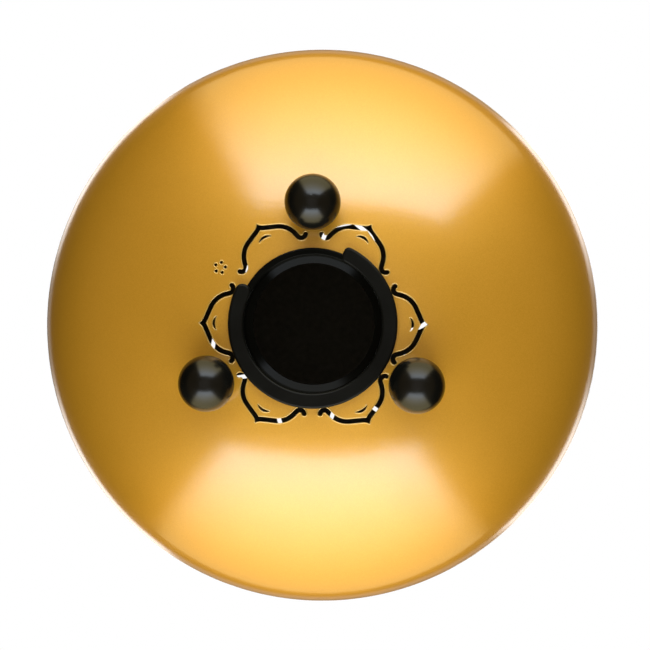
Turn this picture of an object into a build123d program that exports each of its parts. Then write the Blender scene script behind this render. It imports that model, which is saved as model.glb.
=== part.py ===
from build123d import *
from math import atan2, cos, radians, sin, sqrt
import os

# A round steel tongue drum in the handpan style, standing on three ball feet.
# Two pressed heads are welded rim to rim. The upper head carries the tongues: six
# short lotus petals round a plain crown, and eight long tongues outside them. The
# lower head has the sound port, a ring of lotus petals cut round it, and the feet.
# The origin is on the drum's axis at the floor, +Z is up, and -Y is the front foot's side.

# Heads
drum_radius = 177.5  # outside of the straight rim
head_depth = 87.0  # crown above the straight rim, outside
rim_height = 2.0  # straight rim of each head, below its curve
wall = 1.8  # steel sheet
upper_head_turn = 134.0  # each head's start line lies where nothing is cut
lower_head_turn = -90.0

# Weld between the rims
groove_depth = 1.2
groove_half_width = 1.2
bead_height = 0.4

# Cut slots
slot_width = 2.9
curl_radius = 2.67  # centreline of the curl that ends each slot

# Petals round the port, in the lower head
petal_count = 6
petal_reach = 15.9  # from the port's edge strip to the slot's centreline at the petal's point
petal_tip_heading = 135.0
petal_flare_radius = 8.0
petal_flare_turn = 21.0
petal_side = 8.3
petal_shoulder_radius = 13.4
petal_shoulder_turn = 52.0
petal_leg = 2.7
petal_curl_turn = 126.0
crescent_half_length = 4.3
crescent_inset = 8.5  # from the petal's point in to the crescent's two points
crescent_inner_rise = 0.85
crescent_outer_rise = 2.4

# Rosette of small round vents beside one petal
rosette_inset = 1.1  # inward of the petals' points
rosette_angle = 210.7
rosette_holes = 5
rosette_circle = 3.2
rosette_hole_radius = 0.95

# Short tongues of the upper head, each a step shorter than the next lower note
short_tongue_tip = 84.0
short_tongue_step = 2.4
short_tongue_leg = 13.0  # of the longest; each leg ends at the same radius
short_tongue_turn = 60.0  # from the side to the leg
short_tongue_offset = -16.0  # angle of the first one from +X
short_tongue_order = (3, 2, 1, 0, 5, 4)  # rank of each note, going round

# Long tongues of the upper head, points inward
long_tongue_tip = 94.0
long_tongue_half_width = 18.0
long_tongue_corner = 13.0
long_tongue_splay = 4.0
long_tongue_margin = 28.5  # from the rim in to where the longest tongue's legs end
long_tongue_step = 1.6
long_tongue_curl_turn = 120.0
long_tongue_offset = 22.5
long_tongue_order = (6, 4, 2, 0, 1, 3, 5, 7)

# Sound port
port_hole_radius = 43.7  # hole in the lower head
liner_clearance = 0.1
flange_overlap = 2.0
flange_height = 1.6
flange_round = 1.0
neck_wall = 2.2
lip_round = 0.8
dish_inset = 0.5  # the dish narrows by this much inside the lip
dish_depth = 9.5
throat_inset = 4.5  # and at its floor by this much
throat_drop = 1.9
liner_depth = 13.0
snap_radius = 0.8

# Rubber edge strip over the liner, a ring with a gap
strip_lip_step = 0.2  # the strip's inner edge stands this far outside the lip
strip_width = 9.4
strip_height = 4.0  # below the head at the strip's middle
strip_start = -67.0
strip_end = 210.0
strip_start_corner = 3.0
strip_end_corner = 4.4
strip_round = 1.6

# Ball feet and their fixings
foot_names = ("front", "right", "left")
foot_angles = (-90.0, 30.0, 150.0)
foot_margin = 2.6  # from the petals' points out to where a foot's axis leaves the head
ball_radius = 16.8
ball_seat_radius = 8.0
contact_flat_depth = 0.12
bolt_radius = 3.0
bolt_length = 16.0
bolt_head_width = 10.0
bolt_head_height = 4.0
bolt_hole_clearance = 0.3
thread_clearance = 0.05
insert_wall = 1.5
insert_length = 12.5
insert_recess = 0.3
washer_radius = 9.0
washer_thickness = 1.2
damper_radius = 10.0
damper_thickness = 1.6

os.makedirs("parts", exist_ok=True)


def depth_at(radius):
    """How far below the seam the outside of the lower head is at this radius."""
    return rim_height + head_depth * sqrt(1 - (radius / drum_radius) ** 2)


def tilt_at(radius):
    """Angle between the drum's axis and the head's outward normal at this radius."""
    rise = depth_at(radius) - rim_height
    return atan2(head_depth**2 * radius, drum_radius**2 * rise)


# Sizes that follow from those above
neck_radius = port_hole_radius - liner_clearance
flange_radius = port_hole_radius + flange_overlap
lip_radius = neck_radius - neck_wall
dish_radius = lip_radius - dish_inset
throat_radius = lip_radius - throat_inset
strip_inner_radius = lip_radius + strip_lip_step
strip_outer_radius = strip_inner_radius + strip_width
petal_tip = strip_outer_radius + petal_reach
crescent_foot = petal_tip - crescent_inset
rosette_radius = petal_tip - rosette_inset
foot_circle_radius = petal_tip + foot_margin
long_tongue_foot = drum_radius - long_tongue_margin
long_tongue_length = long_tongue_foot - long_tongue_tip - long_tongue_corner
insert_radius = bolt_radius + insert_wall

# A foot stands square to the head, and its ball is cut to the head's surface
foot_tilt = tilt_at(foot_circle_radius)
ball_offset = sqrt(ball_radius**2 - ball_seat_radius**2)
foot_drop = ball_offset * cos(foot_tilt) + ball_radius - contact_flat_depth
equator = depth_at(foot_circle_radius) + foot_drop


def foot_plane(angle):
    """Plane on the outside of the lower head, its Z along a foot's axis, outward."""
    turn = radians(angle)
    around = Vector(cos(turn), sin(turn), 0)
    height = equator - depth_at(foot_circle_radius)
    origin = around * foot_circle_radius + Vector(0, 0, height)
    outward = around * sin(foot_tilt) - Vector(0, 0, cos(foot_tilt))
    return Plane(origin, x_dir=(-sin(turn), cos(turn), 0), z_dir=outward)


def slot_along(start, heading, moves):
    """A slot along tangent arcs (radius, turn) and straights (length, 0), both sides of X."""
    with BuildSketch() as slot:
        with BuildLine():
            point = Vector(start, 0)
            direction = Vector(1, 0).rotate(Axis.Z, heading)
            for size, turn in moves:
                if turn:
                    piece = JernArc(point, direction, size, turn)
                else:
                    piece = Line(point, point + direction * size)
                point = piece @ 1
                direction = piece % 1
            mirror(about=Plane.XZ)
            offset(amount=slot_width / 2, kind=Kind.INTERSECTION)
        make_face()
    return slot.sketch


def petal_slot(tip, shoulder_turn, leg):
    """A lotus petal's outline, pointing out along +X, its legs ending in outward curls."""
    return slot_along(
        tip,
        petal_tip_heading,
        (
            (petal_flare_radius, -petal_flare_turn),
            (petal_side, 0),
            (petal_shoulder_radius, shoulder_turn),
            (leg, 0),
            (curl_radius, -petal_curl_turn),
        ),
    )


def long_tongue_slot(length):
    """A long tongue's outline, its round end inward, legs splayed and curled outward."""
    return slot_along(
        long_tongue_tip,
        90,
        (
            (long_tongue_half_width - long_tongue_corner, 0),
            (long_tongue_corner, long_tongue_splay - 90),
            (length, 0),
            (curl_radius, long_tongue_curl_turn),
        ),
    )


petal = petal_slot(petal_tip, petal_shoulder_turn, petal_leg)

with BuildSketch() as crescent:
    with BuildLine():
        horn = (crescent_foot, crescent_half_length)
        other_horn = (crescent_foot, -crescent_half_length)
        ThreePointArc(horn, (crescent_foot + crescent_outer_rise, 0), other_horn)
        ThreePointArc(horn, (crescent_foot + crescent_inner_rise, 0), other_horn)
    make_face()

with BuildPart() as plain_head:  # crown up, seam at z = 0
    with BuildSketch(Plane.XZ):
        with BuildLine():
            outside = EllipticalCenterArc((0, rim_height), drum_radius, head_depth)
            inside = EllipticalCenterArc((0, rim_height), drum_radius - wall, head_depth - wall)
            Line(outside @ 1, inside @ 1)
            Polyline(
                inside @ 0,
                (drum_radius - wall, 0),
                (drum_radius - groove_depth, 0),
                (drum_radius, groove_half_width),
                outside @ 0,
            )
        make_face()
    revolve(axis=Axis.Z)

with BuildPart() as lower_outside:  # everything within the lower head's outer surface
    with BuildSketch(Plane.XZ):
        with BuildLine():
            curve = EllipticalCenterArc(
                (0, equator - rim_height), drum_radius, head_depth, start_angle=-90
            )
            Polyline(curve @ 1, (drum_radius, equator), (0, equator), curve @ 0)
        make_face()
    revolve(axis=Axis.Z)

with BuildPart() as lower_inside:  # everything within the lower head's inner surface
    with BuildSketch(Plane.XZ):
        with BuildLine():
            curve = EllipticalCenterArc(
                (0, equator - rim_height), drum_radius - wall, head_depth - wall, start_angle=-90
            )
            Polyline(curve @ 1, (drum_radius - wall, equator), (0, equator), curve @ 0)
        make_face()
    revolve(axis=Axis.Z)

# Upper head
with BuildPart() as top_shell:
    with Locations(Location((0, 0, equator), (0, 0, upper_head_turn))):
        add(plain_head.part)
    with BuildSketch(Plane.XY.offset(equator)):
        for place, rank in enumerate(short_tongue_order):
            tip = short_tongue_tip - rank * short_tongue_step
            leg = short_tongue_leg - rank * short_tongue_step
            short_tongue = petal_slot(tip, short_tongue_turn, leg)
            angle = short_tongue_offset + place * 360 / len(short_tongue_order)
            with Locations(Location((0, 0, 0), (0, 0, angle))):
                add(short_tongue)
        for place, rank in enumerate(long_tongue_order):
            long_tongue = long_tongue_slot(long_tongue_length - rank * long_tongue_step)
            angle = long_tongue_offset + place * 360 / len(long_tongue_order)
            with Locations(Location((0, 0, 0), (0, 0, angle))):
                add(long_tongue)
    extrude(amount=rim_height + head_depth + wall, mode=Mode.SUBTRACT)
top_shell.part.label = "top_shell"
export_step(top_shell.part, "parts/top_shell.step")

# Lower head
with BuildPart() as bottom_shell:
    with Locations(Location((0, 0, equator), (180, 0, lower_head_turn))):
        add(plain_head.part)
    with BuildSketch() as lower_cuts:
        Circle(port_hole_radius)
        with PolarLocations(0, petal_count):
            add(petal)
            add(crescent.sketch)
        with Locations(Location((0, 0, 0), (0, 0, rosette_angle))):
            with Locations((rosette_radius, 0)):
                with PolarLocations(rosette_circle, rosette_holes):
                    Circle(rosette_hole_radius)
    extrude(amount=equator, mode=Mode.SUBTRACT)
    for angle in foot_angles:
        with BuildSketch(foot_plane(angle)):
            Circle(bolt_radius + bolt_hole_clearance)
        extrude(amount=2 * wall, both=True, mode=Mode.SUBTRACT)
bottom_shell.part.label = "bottom_shell"
export_step(bottom_shell.part, "parts/bottom_shell.step")

# Weld bead that fills the V between the rims
with BuildPart() as seam_weld:
    with BuildSketch(Plane.XZ):
        with BuildLine():
            above = (drum_radius, equator + groove_half_width)
            below = (drum_radius, equator - groove_half_width)
            Polyline(above, (drum_radius - groove_depth, equator), below)
            ThreePointArc(below, (drum_radius + bead_height, equator), above)
        make_face()
    revolve(axis=Axis.Z)
seam_weld.part.label = "seam_weld"
export_step(seam_weld.part, "parts/seam_weld.step")

# Port liner: a flange outside the head, a neck through its hole, a dished inner lip
flange_face = equator - depth_at(flange_radius) - flange_height
snap_height = equator - depth_at(port_hole_radius + 2 * snap_radius) + wall + snap_radius
with BuildPart() as port_liner:
    with BuildSketch(Plane.XY.offset(flange_face)):
        Circle(flange_radius)
        Circle(lip_radius, mode=Mode.SUBTRACT)
    extrude(amount=2 * flange_height)
    add(lower_outside.part, mode=Mode.SUBTRACT)
    with BuildSketch(Plane.XZ):
        with BuildLine():
            Polyline(
                (lip_radius, flange_face),
                (neck_radius, flange_face),
                (neck_radius, flange_face + liner_depth),
                (throat_radius, flange_face + liner_depth),
                (throat_radius, flange_face + dish_depth + throat_drop),
                (dish_radius, flange_face + dish_depth),
                close=True,
            )
        make_face()
        with Locations((neck_radius, snap_height)):
            Circle(snap_radius)
    revolve(axis=Axis.Z)
    face_edges = port_liner.faces().sort_by(Axis.Z)[0].edges().sort_by(SortBy.LENGTH)
    fillet(face_edges[0], radius=lip_round)
    fillet(port_liner.faces().sort_by(Axis.Z)[0].outer_wire().edges(), radius=flange_round)
port_liner.part.label = "port_liner"
export_step(port_liner.part, "parts/port_liner.step")

# Edge strip
strip_middle = (strip_inner_radius + strip_outer_radius) / 2
strip_face = equator - depth_at(strip_middle) - strip_height
with BuildPart() as port_edge_strip:
    with BuildSketch(Plane.XY.offset(strip_face)) as strip_plan:
        Circle(strip_outer_radius)
        Circle(strip_inner_radius, mode=Mode.SUBTRACT)
        with BuildLine():
            far = 2 * strip_outer_radius
            gap_start = PolarLine((0, 0), far, strip_end)
            gap_end = PolarLine((0, 0), far, strip_start)
            Polyline(gap_start @ 1, (0, -2 * far), gap_end @ 1)
        make_face(mode=Mode.SUBTRACT)
        fillet(strip_plan.vertices().sort_by(Axis.X)[:2], radius=strip_end_corner)
        fillet(strip_plan.vertices().sort_by(Axis.Y)[:2], radius=strip_start_corner)
    extrude(amount=2 * strip_height)
    add(lower_outside.part, mode=Mode.SUBTRACT)
    add(port_liner.part, mode=Mode.SUBTRACT)
    fillet(port_edge_strip.faces().sort_by(Axis.Z)[0].edges(), radius=strip_round)
port_edge_strip.part.label = "port_edge_strip"
export_step(port_edge_strip.part, "parts/port_edge_strip.step")

# Feet: ball, threaded insert, and inside the drum a bolt, a washer and a rubber damper
damper_face = -wall - damper_thickness
washer_face = damper_face - washer_thickness
for name, angle in zip(foot_names, foot_angles):
    plane = foot_plane(angle)

    with BuildPart() as foot_ball:
        with Locations(plane.location):
            with Locations((0, 0, ball_offset)):
                Sphere(ball_radius)
        add(lower_outside.part, mode=Mode.SUBTRACT)
        split(bisect_by=Plane.XY, keep=Keep.TOP)
        with BuildSketch(plane.offset(-wall)):
            Circle(insert_radius)
        extrude(amount=wall + insert_recess + insert_length, mode=Mode.SUBTRACT)
    foot_ball.part.label = f"foot_ball_{name}"
    export_step(foot_ball.part, f"parts/foot_ball_{name}.step")

    with BuildPart() as foot_insert:
        with BuildSketch(plane.offset(insert_recess)):
            Circle(insert_radius)
            Circle(bolt_radius + thread_clearance, mode=Mode.SUBTRACT)
        extrude(amount=insert_length)
    foot_insert.part.label = f"foot_insert_{name}"
    export_step(foot_insert.part, f"parts/foot_insert_{name}.step")

    with BuildPart() as foot_damper:
        with BuildSketch(plane.offset(damper_face)):
            Circle(damper_radius)
            Circle(bolt_radius + bolt_hole_clearance, mode=Mode.SUBTRACT)
        extrude(amount=2 * damper_thickness)
        add(lower_inside.part, mode=Mode.INTERSECT)
    foot_damper.part.label = f"foot_damper_{name}"
    export_step(foot_damper.part, f"parts/foot_damper_{name}.step")

    with BuildPart() as foot_washer:
        with BuildSketch(plane.offset(washer_face)):
            Circle(washer_radius)
            Circle(bolt_radius + bolt_hole_clearance, mode=Mode.SUBTRACT)
        extrude(amount=washer_thickness)
    foot_washer.part.label = f"foot_washer_{name}"
    export_step(foot_washer.part, f"parts/foot_washer_{name}.step")

    with BuildPart() as foot_bolt:
        with BuildSketch(plane.offset(washer_face)):
            RegularPolygon(bolt_head_width / 2, 6, major_radius=False)
        extrude(amount=-bolt_head_height)
        with BuildSketch(plane.offset(washer_face)):
            Circle(bolt_radius)
        extrude(amount=bolt_length)
    foot_bolt.part.label = f"foot_bolt_{name}"
    export_step(foot_bolt.part, f"parts/foot_bolt_{name}.step")
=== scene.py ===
import math

import bpy
from mathutils import Matrix, Vector


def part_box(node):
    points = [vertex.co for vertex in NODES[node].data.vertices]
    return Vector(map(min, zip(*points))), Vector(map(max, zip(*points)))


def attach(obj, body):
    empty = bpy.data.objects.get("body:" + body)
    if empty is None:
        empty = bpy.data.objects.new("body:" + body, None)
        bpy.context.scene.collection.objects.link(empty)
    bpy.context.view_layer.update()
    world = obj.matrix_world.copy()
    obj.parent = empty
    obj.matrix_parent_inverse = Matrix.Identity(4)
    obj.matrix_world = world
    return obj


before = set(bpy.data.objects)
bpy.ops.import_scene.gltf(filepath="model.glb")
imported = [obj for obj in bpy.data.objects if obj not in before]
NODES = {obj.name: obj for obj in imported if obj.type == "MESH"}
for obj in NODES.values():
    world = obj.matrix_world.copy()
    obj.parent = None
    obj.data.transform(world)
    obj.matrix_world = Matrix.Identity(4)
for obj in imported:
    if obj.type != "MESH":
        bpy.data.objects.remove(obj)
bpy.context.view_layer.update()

# The drum's own sizes, in metres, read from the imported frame
SHELL_LOW, SHELL_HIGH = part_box("top_shell")
SEAM_HEIGHT = SHELL_LOW.z
RIM_RADIUS = SHELL_HIGH.x
SEAM = Vector((0, 0, SEAM_HEIGHT))
RIM_HEIGHT = 0.002  # straight part of a head beside the seam
HEAD_DEPTH = SHELL_HIGH.z - SEAM_HEIGHT - RIM_HEIGHT


# ---------------------------------------------------------------- node helpers
class Graph:
    """A small builder for a node tree."""

    def __init__(self, tree):
        self.tree = tree

    def link(self, source, target):
        self.tree.links.new(source, target)

    def give(self, socket, value):
        """Links another socket to this one, or sets its value."""
        if isinstance(value, bpy.types.NodeSocket):
            self.link(value, socket)
        else:
            socket.default_value = value

    def spread(self, value, low, high, to_low, to_high, course="LINEAR"):
        """Carries low..high over to to_low..to_high, and holds the ends."""
        node = self.tree.nodes.new("ShaderNodeMapRange")
        node.clamp = True
        node.interpolation_type = course
        node.inputs["From Min"].default_value = low
        node.inputs["From Max"].default_value = high
        node.inputs["To Min"].default_value = to_low
        node.inputs["To Max"].default_value = to_high
        self.link(value, node.inputs["Value"])
        return node.outputs["Result"]

    def ease(self, value, limits, to_low, to_high):
        """As spread, with a gentle start and stop."""
        low, high = limits
        return self.spread(value, low, high, to_low, to_high, course="SMOOTHSTEP")

    def mix(self, factor, a, b):
        node = self.tree.nodes.new("ShaderNodeMix")
        node.data_type = "RGBA"
        for socket, value in zip((node.inputs[0], node.inputs[6], node.inputs[7]), (factor, a, b)):
            self.give(socket, value)
        return node.outputs[2]

    def maths(self, operation, a, b=0.0):
        node = self.tree.nodes.new("ShaderNodeMath")
        node.operation = operation
        for socket, value in zip(node.inputs, (a, b)):
            self.give(socket, value)
        return node.outputs[0]

    def split(self, vector):
        node = self.tree.nodes.new("ShaderNodeSeparateXYZ")
        self.link(vector, node.inputs[0])
        return node.outputs["X"], node.outputs["Y"], node.outputs["Z"]


class Paint(Graph):
    """A material and its node tree. A pattern's values mostly lie between LOW and HIGH."""

    LOW, HIGH = 0.3, 0.7

    def __init__(self, name):
        self.material = bpy.data.materials.new(name)
        self.material.use_nodes = True
        super().__init__(self.material.node_tree)
        self.shader = self.tree.nodes["Principled BSDF"]
        self.coords = self.tree.nodes.new("ShaderNodeTexCoord").outputs["Object"]

    def set(self, **values):
        for key, value in values.items():
            self.shader.inputs[key.replace("_", " ")].default_value = value

    def noise(self, scale, detail=4.0, roughness=0.55):
        node = self.tree.nodes.new("ShaderNodeTexNoise")
        node.inputs["Scale"].default_value = scale
        node.inputs["Detail"].default_value = detail
        node.inputs["Roughness"].default_value = roughness
        self.link(self.coords, node.inputs["Vector"])
        return node.outputs["Fac"]

    def cells(self, scale, output="Distance"):
        node = self.tree.nodes.new("ShaderNodeTexVoronoi")
        node.inputs["Scale"].default_value = scale
        self.link(self.coords, node.inputs["Vector"])
        return node.outputs[output]

    def bump(self, height, distance, strength, under=None):
        node = self.tree.nodes.new("ShaderNodeBump")
        node.inputs["Strength"].default_value = strength
        node.inputs["Distance"].default_value = distance
        self.link(height, node.inputs["Height"])
        if under is not None:
            self.link(under, node.inputs["Normal"])
        return node.outputs["Normal"]

    def colour(self, pattern, dark, light, low=LOW, high=HIGH):
        shade = self.mix(self.spread(pattern, low, high, 0, 1), dark, light)
        self.link(shade, self.shader.inputs["Base Color"])

    def rough(self, pattern, smooth, matt, low=LOW, high=HIGH):
        self.link(self.spread(pattern, low, high, smooth, matt), self.shader.inputs["Roughness"])

    def normal(self, socket):
        self.link(socket, self.shader.inputs["Normal"])


def rgb(r, g, b):
    return (r, g, b, 1.0)


# ---------------------------------------------------------------- materials
# Noise scales are per metre, and bump distances are in metres.
LACQUER_DARK = rgb(0.92, 0.45, 0.03)
LACQUER_LIGHT = rgb(1.0, 0.52, 0.045)
LACQUER_MOTTLE = rgb(0.98, 0.48, 0.038)
FLAKE_SCALE = 2600


def gold_paint():
    n = Paint("gold_metallic_paint")
    n.set(Metallic=0.42, Coat_Weight=1.0, Coat_Roughness=0.13, Coat_IOR=1.9)
    grey = n.tree.nodes.new("ShaderNodeRGBToBW")
    n.link(n.cells(FLAKE_SCALE, "Color"), grey.inputs[0])
    flake = grey.outputs[0]
    mottle = n.noise(scale=60, detail=5)
    tone = n.mix(n.spread(flake, 0.15, 0.85, 0, 1), LACQUER_DARK, LACQUER_LIGHT)
    tone = n.mix(n.spread(mottle, n.LOW, n.HIGH, 0, 0.25), tone, LACQUER_MOTTLE)
    n.link(tone, n.shader.inputs["Base Color"])
    n.rough(mottle, 0.40, 0.44)
    peel = n.bump(n.noise(scale=300, detail=3), distance=0.00004, strength=0.6)
    sparkle = n.bump(flake, distance=0.000012, strength=0.4, under=peel)
    n.normal(sparkle)
    n.link(sparkle, n.shader.inputs["Coat Normal"])
    return n.material


def cut_edge():
    n = Paint("gold_paint_thin_on_cut_edges")
    n.set(Metallic=0.35, Coat_Weight=1.0, Coat_Roughness=0.2, Coat_IOR=1.6)
    streak = n.noise(scale=900, detail=4)
    n.colour(streak, rgb(0.78, 0.52, 0.2), rgb(0.5, 0.3, 0.07), low=0.35, high=0.65)
    n.rough(streak, 0.3, 0.5)
    n.normal(n.bump(streak, distance=0.00004, strength=0.6))
    return n.material


def rolled_paint_with_highlight():
    n = Paint("gold_paint_rolled_over_slot_edges_painted_highlight")
    n.set(Metallic=0.5, Coat_Weight=1.0, Coat_Roughness=0.2, Coat_IOR=2.0)
    grain = n.noise(scale=1800, detail=3)
    # Paler than the main gold: the rolled edge is real paint build-up, and its lighter colour is a
    # painted highlight along the slot edges
    n.colour(grain, rgb(0.95, 0.56, 0.08), rgb(1.0, 0.68, 0.16))
    n.rough(grain, 0.32, 0.42)
    n.normal(n.bump(grain, distance=0.00002, strength=0.4))
    return n.material


def inside_primer():
    n = Paint("dark_primer_inside")
    n.set(Metallic=0.0, Specular_IOR_Level=0.3)
    spray = n.noise(scale=260, detail=6, roughness=0.7)
    n.colour(spray, rgb(0.14, 0.14, 0.125), rgb(0.22, 0.22, 0.2))
    n.rough(spray, 0.6, 0.8)
    n.normal(n.bump(spray, distance=0.0001, strength=0.5))
    return n.material


def weld_paint():
    n = Paint("gold_paint_over_weld")
    n.set(Metallic=0.42, Coat_Weight=1.0, Coat_Roughness=0.2, Coat_IOR=1.9)
    ripple = n.noise(scale=350, detail=3)
    n.colour(ripple, rgb(0.9, 0.44, 0.03), LACQUER_LIGHT)
    n.rough(ripple, 0.38, 0.5)
    n.normal(n.bump(ripple, distance=0.00015, strength=0.7))
    return n.material


def black_moulding(name, dark, light, smooth, matt, grain, depth, specular):
    """Black plastic or rubber: a soft cloudiness and a fine moulded grain."""
    n = Paint(name)
    n.set(Specular_IOR_Level=specular)
    cloud = n.noise(scale=35, detail=4)
    n.colour(cloud, dark, light)
    n.rough(cloud, smooth, matt)
    n.normal(n.bump(n.noise(grain, detail=4, roughness=0.6), depth, strength=0.6))
    return n.material


def port_plastic():
    dark, light = rgb(0.002, 0.0024, 0.002), rgb(0.004, 0.0045, 0.004)
    return black_moulding(
        "port_black_plastic", dark, light, smooth=0.13, matt=0.18, grain=900, depth=0.00001, specular=0.08
    )


def strip_rubber():
    dark, light = rgb(0.003, 0.0034, 0.003), rgb(0.006, 0.0066, 0.006)
    return black_moulding(
        "strip_rubber", dark, light, smooth=0.3, matt=0.38, grain=1400, depth=0.00004, specular=0.2
    )


def ball_plastic():
    dark, light = rgb(0.004, 0.0044, 0.004), rgb(0.007, 0.0075, 0.007)
    return black_moulding(
        "ball_polished_black", dark, light, smooth=0.2, matt=0.26, grain=700, depth=0.00001, specular=0.62
    )


def damper_rubber():
    dark, light = rgb(0.02, 0.02, 0.02), rgb(0.035, 0.035, 0.035)
    return black_moulding(
        "damper_rubber_matt", dark, light, smooth=0.7, matt=0.85, grain=1200, depth=0.00008, specular=0.5
    )


def brass():
    n = Paint("turned_brass")
    n.set(Metallic=1.0)
    ring = n.noise(scale=1500, detail=2)
    n.colour(ring, rgb(0.62, 0.42, 0.16), rgb(0.75, 0.55, 0.26))
    n.rough(ring, 0.25, 0.4)
    n.normal(n.bump(ring, distance=0.00003, strength=0.5))
    return n.material


def zinc():
    n = Paint("bright_zinc")
    n.set(Metallic=1.0)
    spangle = n.cells(scale=900)
    n.colour(spangle, rgb(0.55, 0.56, 0.58), rgb(0.68, 0.69, 0.72), low=0.1)
    n.rough(spangle, 0.28, 0.42, low=0.1)
    n.normal(n.bump(spangle, distance=0.00002, strength=0.4))
    return n.material


GOLD = gold_paint()
EDGE = cut_edge()
ROLLED_PAINT_HIGHLIGHT = rolled_paint_with_highlight()
INSIDE = inside_primer()
WELD = weld_paint()
PORT = port_plastic()
STRIP = strip_rubber()
BALL = ball_plastic()
DAMPER = damper_rubber()
BRASS = brass()
ZINC = zinc()


# ---------------------------------------------------------------- materials onto the CAD nodes
FEET = ("front", "right", "left")
PAINTED_LEVEL = 0.995  # a little inside the head's outer surface, which is 1
OUTER, CUT, INNER = 0, 1, 2  # a head's kinds of face, in the order of its materials


def dress(node, *materials):
    """Gives a CAD node's object these materials."""
    mesh = NODES[node].data
    mesh.materials.clear()
    for material in materials:
        mesh.materials.append(material)


def head_level(point):
    """1 on a head's outer surface, less inside it."""
    rise = max(abs(point.z - SEAM_HEIGHT) - RIM_HEIGHT, 0)
    return (point.x**2 + point.y**2) / RIM_RADIUS**2 + (rise / HEAD_DEPTH) ** 2


def dress_head(node):
    """Paint outside, primer inside, thin paint on what the laser cut."""
    dress(node, GOLD, EDGE, INSIDE)
    mesh = NODES[node].data
    outside = [head_level(v.co) > PAINTED_LEVEL for v in mesh.vertices]
    for face in mesh.polygons:
        out = [outside[v] for v in face.vertices]
        if all(out):
            face.material_index = OUTER
        elif any(out):
            face.material_index = CUT
        else:
            face.material_index = INNER


def dress_nodes():
    dress_head("top_shell")
    dress_head("bottom_shell")
    dress("seam_weld", WELD)
    dress("port_liner", PORT)
    dress("port_edge_strip", STRIP)
    for foot in FEET:
        dress("foot_ball_" + foot, BALL)
        dress("foot_insert_" + foot, BRASS)
        dress("foot_damper_" + foot, DAMPER)
        dress("foot_washer_" + foot, ZINC)
        dress("foot_bolt_" + foot, ZINC)


dress_nodes()


# ---------------------------------------------------------------- rolled paint edges of the slots
BEAD_RADIUS = 0.00042
BEAD_SINK = 0.00026  # below the painted surface
BEAD_INSET = 0.00036  # back from the slot's edge
BEAD_SIDES = 8
RIM_MARGIN = 0.002  # an outline that comes nearer the rim than this is the rim
RING_SPREAD = 0.0005  # an outline whose radius varies less is the sound port, which the liner covers
FOOT_REACH = 0.009  # an outline whose middle is nearer a foot than this is a bolt hole
FEWEST_POINTS = 8  # an outline with fewer is no slot
KEYS_PER_METRE = 1e6  # corners that agree to a micron are one corner


def cut_outlines(node):
    """Closed outlines, as lists of points, where the painted outside of a head meets its cuts."""
    mesh = NODES[node].data
    ends = {}
    places = {}
    for face in mesh.polygons:
        if face.material_index != OUTER:
            continue
        keys = []
        for v in face.vertices:
            key = tuple(round(c * KEYS_PER_METRE) for c in mesh.vertices[v].co)
            places[key] = mesh.vertices[v].co.copy()
            keys.append(key)
        # An edge that two of these faces share comes up once each way, and cancels
        for a, b in zip(keys, keys[1:] + keys[:1]):
            if a == b:
                continue
            if b in ends.get(a, ()):
                ends[a].remove(b)
            elif a in ends.get(b, ()):
                ends[b].remove(a)
            else:
                ends.setdefault(a, []).append(b)
    outlines = []
    while True:
        starts = sorted(k for k, v in ends.items() if v)
        if not starts:
            return outlines
        first = starts[0]
        outline = [first]
        while True:
            following = ends.get(outline[-1])
            if not following:
                break
            step = following.pop()
            if step == first:
                break
            outline.append(step)
        outlines.append([places[k] for k in outline])


def head_normal(point):
    """The direction out of a head's outer surface."""
    rise = point.z - SEAM_HEIGHT
    rise = math.copysign(max(abs(rise) - RIM_HEIGHT, 0), rise)
    slopes = (point.x / RIM_RADIUS**2, point.y / RIM_RADIUS**2, rise / HEAD_DEPTH**2)
    return Vector(slopes).normalized()


def bead(points, vertices, faces):
    """Adds a closed rolled edge along an outline, its centre set into the sheet."""
    base = len(vertices)
    count = len(points)
    for i, point in enumerate(points):
        along = (points[(i + 1) % count] - points[i - 1]).normalized()
        normal = head_normal(point)
        inward = normal.cross(along).normalized()
        centre = point - normal * BEAD_SINK + inward * BEAD_INSET
        for k in range(BEAD_SIDES):
            angle = 2 * math.pi * k / BEAD_SIDES
            vertices.append(centre + (normal * math.cos(angle) + inward * math.sin(angle)) * BEAD_RADIUS)
    for i in range(count):
        here = base + i * BEAD_SIDES
        there = base + (i + 1) % count * BEAD_SIDES
        for k in range(BEAD_SIDES):
            following = (k + 1) % BEAD_SIDES
            faces.append((here + k, here + following, there + following, there + k))


def is_slot(outline):
    """Whether an outline is a slot, and not the rim, the sound port or a bolt hole."""
    if len(outline) < FEWEST_POINTS:
        return False
    reach = [math.hypot(p.x, p.y) for p in outline]
    if max(reach) > RIM_RADIUS - RIM_MARGIN or max(reach) - min(reach) < RING_SPREAD:
        return False
    middle = sum(outline, Vector()) / len(outline)
    return all((middle - place).length >= FOOT_REACH for place in FOOT_PLACES)


def rolled_edges(node, name):
    """The paint's rounded build-up round every slot of a head."""
    vertices, faces = [], []
    for outline in cut_outlines(node):
        if is_slot(outline):
            bead(outline, vertices, faces)
    mesh = bpy.data.meshes.new(name)
    mesh.from_pydata(vertices, [], faces)
    for face in mesh.polygons:
        face.use_smooth = True
    mesh.validate()
    mesh.materials.append(ROLLED_PAINT_HIGHLIGHT)
    piece = bpy.data.objects.new(name, mesh)
    bpy.context.scene.collection.objects.link(piece)
    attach(piece, "root")


FOOT_PLACES = []
for foot in FEET:
    foot_low, foot_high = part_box("foot_damper_" + foot)
    FOOT_PLACES.append((foot_low + foot_high) / 2)
rolled_edges("top_shell", "slot_edges_top")
rolled_edges("bottom_shell", "slot_edges_bottom")


# ---------------------------------------------------------------- studio
FLOOR_REACH = 14.0


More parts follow.
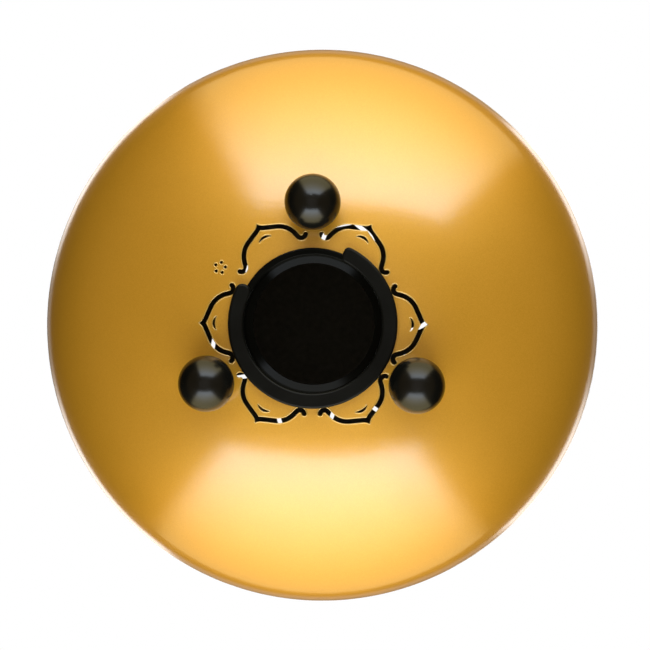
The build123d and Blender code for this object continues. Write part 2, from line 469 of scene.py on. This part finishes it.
def pale_floor():
    """Shows from above only, because the main view is from below it."""
    n = Paint("pale_floor")
    n.set(Roughness=0.7, Specular_IOR_Level=0.2)
    n.colour(n.noise(scale=9, detail=3), rgb(0.81, 0.81, 0.80), rgb(0.82, 0.82, 0.81))
    side = n.tree.nodes.new("ShaderNodeNewGeometry").outputs["Backfacing"]
    clear = n.tree.nodes.new("ShaderNodeBsdfTransparent")
    switch = n.tree.nodes.new("ShaderNodeMixShader")
    output = n.tree.nodes["Material Output"]
    n.link(side, switch.inputs[0])
    n.link(n.shader.outputs[0], switch.inputs[1])
    n.link(clear.outputs[0], switch.inputs[2])
    n.link(switch.outputs[0], output.inputs["Surface"])
    return n.material


def stage_floor():
    mesh = bpy.data.meshes.new("studio_floor")
    corners = [(x * FLOOR_REACH, y * FLOOR_REACH, 0) for x, y in ((-1, -1), (1, -1), (1, 1), (-1, 1))]
    mesh.from_pydata(corners, [], [(0, 1, 2, 3)])
    mesh.materials.append(pale_floor())
    floor = bpy.data.objects.new("studio_floor", mesh)
    bpy.context.scene.collection.objects.link(floor)
    floor.visible_shadow = False
    floor.visible_glossy = False
    floor.visible_diffuse = False
    floor.visible_transmission = False
    return floor


FLOOR = stage_floor()


# Two tall softboxes, one on either side of the camera below, that reach up past the drum
SOFTBOX_DISTANCE = 0.9  # from the drum's axis
SOFTBOX_TOP = 0.45  # above the seam
EDGE_SOFTNESS = 0.11  # share of the width that fades out at each side
TINT_CHANGE = (0.1, 0.8)  # share of the height
LOW_TINT = (0.92, 1.02, 1.12, 1)
HIGH_TINT = (0.94, 0.80, 0.42, 1)
HIGH_GLOW = 1.08

# A square softbox over the drum
TOP_SIZE = 1.3
TOP_HEIGHT = 1.6
TOP_GLOW = 1.0

# A broad light from above for the floor alone
FLOOR_SUN = 2.4
FLOOR_SUN_SPREAD = math.radians(80)
FLOOR_SUN_HEIGHT = 2.0


def hang(lamp, lights_floor):
    """Puts a lamp in the scene, to light the floor alone or everything but the floor."""
    bpy.context.scene.collection.objects.link(lamp)
    linked = bpy.data.collections.new(lamp.name + "_linking")
    linked.objects.link(FLOOR)
    state = "INCLUDE" if lights_floor else "EXCLUDE"
    linked.collection_objects[0].light_linking.link_state = state
    lamp.light_linking.receiver_collection = linked


def softbox(name, side, left, right, bottom, low_glow):
    """An upright softbox beside the drum, brightest at its lower end, with soft edges.

    Left and right are measured from the drum's axis, the bottom from the seam.
    """
    light = bpy.data.lights.new(name, "AREA")
    light.shape = "RECTANGLE"
    light.size = right - left
    light.size_y = SOFTBOX_TOP - bottom
    light.energy = math.pi * light.size * light.size_y  # a glow of 1 at a strength of 1
    light.use_nodes = True
    g = Graph(light.node_tree)
    across, up, _ = g.split(g.tree.nodes.new("ShaderNodeNewGeometry").outputs["Parametric"])
    strength = g.ease(up, (0, 1), low_glow, HIGH_GLOW)
    for fade in ((0, EDGE_SOFTNESS), (1, 1 - EDGE_SOFTNESS)):
        strength = g.maths("MULTIPLY", strength, g.ease(across, fade, 0, 1))
    tint = g.mix(g.ease(up, TINT_CHANGE, 0, 1), LOW_TINT, HIGH_TINT)
    emission = g.tree.nodes["Emission"]
    g.link(strength, emission.inputs["Strength"])
    g.link(tint, emission.inputs["Color"])
    lamp = bpy.data.objects.new(name, light)
    middle = Vector(((left + right) / 2, side * SOFTBOX_DISTANCE, (SOFTBOX_TOP + bottom) / 2))
    lamp.location = SEAM + middle
    lamp.rotation_euler = (math.radians(90), 0, 0 if side < 0 else math.pi)
    lamp.visible_camera = False
    hang(lamp, lights_floor=False)


def overhead_softbox():
    light = bpy.data.lights.new("softbox_top", "AREA")
    light.shape = "SQUARE"
    light.size = TOP_SIZE
    light.energy = math.pi * TOP_SIZE**2 * TOP_GLOW
    lamp = bpy.data.objects.new("softbox_top", light)
    lamp.location = SEAM + Vector((0, 0, TOP_HEIGHT))
    lamp.visible_camera = False
    hang(lamp, lights_floor=False)


def floor_sun():
    light = bpy.data.lights.new("floor_sun", "SUN")
    light.energy = FLOOR_SUN
    light.angle = FLOOR_SUN_SPREAD
    lamp = bpy.data.objects.new("floor_sun", light)
    lamp.location = SEAM + Vector((0, 0, FLOOR_SUN_HEIGHT))
    hang(lamp, lights_floor=True)


softbox("softbox_front", side=-1, left=-0.62, right=1.06, bottom=-1.55, low_glow=3.1)
softbox("softbox_back", side=1, left=-0.84, right=0.76, bottom=-1.45, low_glow=3.35)
overhead_softbox()
floor_sun()


# The room's own light. A height is the z of a direction of length 1.
GLOW_RISE = (0.65, 0.77)  # heights between which the overhead glow comes in
GLOW_FALL = (0.82, 0.93)  # and between which it falls to GLOW_ZENITH
GLOW_ZENITH = 0.35
GLOW_SQUARE, GLOW_DIAGONAL = 0.3, 2.2  # the glow along the axes and along the diagonals
GLOW_TURN = (0.2, 0.9)  # from one to the other: 0 is along an axis, 1 along a diagonal
GLOW_SIDEWAYS = (0.25, 0.5)  # the share of x past which a direction counts as diagonal
BELOW_RISE = (-0.86, -0.99)
BELOW = 0.14  # a glow straight below
FILL_RISE = (0.0, -0.4)
DIM, LOW_FILL = 0.01, 0.11  # the warm fill above, and low down
FILL_TINT = (1.0, 0.62, 0.2)
SMALLEST_LEVEL = 0.001  # keeps the division finite straight up and down


def studio_world():
    """Dim, warm low down, with a glow overhead. The camera sees it as plain white."""
    world = bpy.data.worlds.new("studio")
    bpy.context.scene.world = world
    world.use_nodes = True
    g = Graph(world.node_tree)
    x, y, z = g.split(g.tree.nodes.new("ShaderNodeTexCoord").outputs["Generated"])
    level = g.maths("SUBTRACT", 1.0, g.maths("MULTIPLY", z, z))
    level = g.maths("MAXIMUM", level, SMALLEST_LEVEL)
    across = g.maths("ABSOLUTE", g.maths("MULTIPLY", x, y))
    diagonal = g.maths("DIVIDE", g.maths("MULTIPLY", across, 2.0), level)
    sideways = g.maths("DIVIDE", g.maths("MULTIPLY", x, x), level)
    diagonal = g.maths("MULTIPLY", diagonal, g.ease(sideways, GLOW_SIDEWAYS, 0, 1))
    band = g.maths("MULTIPLY", g.ease(z, GLOW_RISE, 0, 1), g.ease(z, GLOW_FALL, 1, GLOW_ZENITH))
    glow = g.maths("MULTIPLY", band, g.ease(diagonal, GLOW_TURN, GLOW_SQUARE, GLOW_DIAGONAL))
    white = g.maths("ADD", glow, g.ease(z, BELOW_RISE, 0, BELOW))
    fill = g.ease(z, FILL_RISE, DIM, LOW_FILL)
    colour = g.tree.nodes.new("ShaderNodeCombineColor")
    for socket, tint in zip(colour.inputs, FILL_TINT):
        g.link(g.maths("ADD", white, g.maths("MULTIPLY", fill, tint)), socket)
    seen = g.tree.nodes.new("ShaderNodeLightPath").outputs["Is Camera Ray"]
    background = g.tree.nodes["Background"]
    g.link(g.mix(seen, colour.outputs[0], rgb(1, 1, 1)), background.inputs["Color"])


studio_world()
scene = bpy.context.scene
scene.view_settings.view_transform = "Standard"


# ---------------------------------------------------------------- camera
# Below the drum and a little to its right
FIELD = math.radians(19.84)
CAMERA_PLACE = Vector((0.068, 0.0095, SEAM_HEIGHT - 1.2))
CAMERA_AIM = Vector((0.0027, 0.0, SEAM_HEIGHT))
CAMERA_ROLL = math.radians(0.45)
camera_data = bpy.data.cameras.new("camera")
camera_data.lens = camera_data.sensor_width / 2 / math.tan(FIELD / 2)
camera_data.clip_end = 20
camera = bpy.data.objects.new("camera", camera_data)
scene.collection.objects.link(camera)
forward = (CAMERA_AIM - CAMERA_PLACE).normalized()
up = Vector((0, -1, 0))
right = forward.cross(up).normalized()
up = right.cross(forward)
turn = Matrix((right, up, -forward)).transposed()
camera.location = CAMERA_PLACE
camera.rotation_mode = "QUATERNION"
camera.rotation_quaternion = (turn @ Matrix.Rotation(CAMERA_ROLL, 3, "Z")).to_quaternion()
scene.camera = camera
